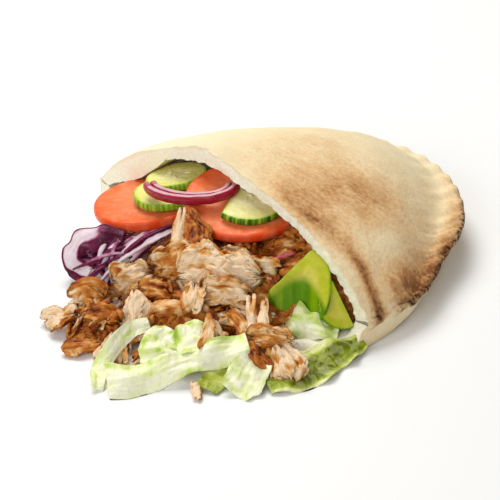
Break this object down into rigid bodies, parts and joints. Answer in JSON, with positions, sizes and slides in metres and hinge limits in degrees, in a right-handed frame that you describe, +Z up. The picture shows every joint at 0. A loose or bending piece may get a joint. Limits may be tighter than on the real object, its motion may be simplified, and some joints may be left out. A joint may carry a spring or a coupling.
{
  "type": "doner kebab sandwich",
  "caption": "Half a pita pocket lying on its side, filled with shaved roast meat, tomato, cucumber, red onion, red cabbage and lettuce that spill from its mouth.",
  "frame": {"origin": "centre of the footprint, on the surface the sandwich lies on", "axes": "+X along the mouth of the pocket towards its right corner seen from the front, +Y into the pocket, +Z up"},
  "size_m": [0.1938, 0.2319, 0.0567],
  "materials": {
    "pita_crust": "matt baked crust, pale with toasted brown patches",
    "roast_meat": "moist shaved roast meat with browned edges",
    "tomato": "wet cut tomato",
    "cucumber": "wet cut cucumber with green rind",
    "red_onion": "glossy red onion",
    "red_cabbage": "shredded red cabbage, white inside",
    "lettuce": "crisp iceberg lettuce"
  },
  "bodies": {
    "root": {"pita_bread": "pita_crust", "doner_meat": "roast_meat", "tomato_slice_right": "tomato", "tomato_slice_left": "tomato", "cucumber_slice_left": "cucumber", "cucumber_slice_back": "cucumber", "cucumber_half_slice": "cucumber", "cucumber_chunk": "cucumber", "cucumber_slice_corner": "cucumber", "red_onion_ring": "red_onion", "red_onion_strip": "red_onion", "red_cabbage": "red_cabbage", "meat_strand_front": "roast_meat", "lettuce_front_leaf": "lettuce", "lettuce_ribbon": "lettuce", "lettuce_torn_left": "lettuce", "lettuce_torn_right": "lettuce", "lettuce_ribbed_piece": "lettuce", "lettuce_yellow_piece": "lettuce", "lettuce_right_leaf": "lettuce", "lettuce_inner_leaf": "lettuce", "lettuce_green_bit": "lettuce"}
  },
  "joints": []
}
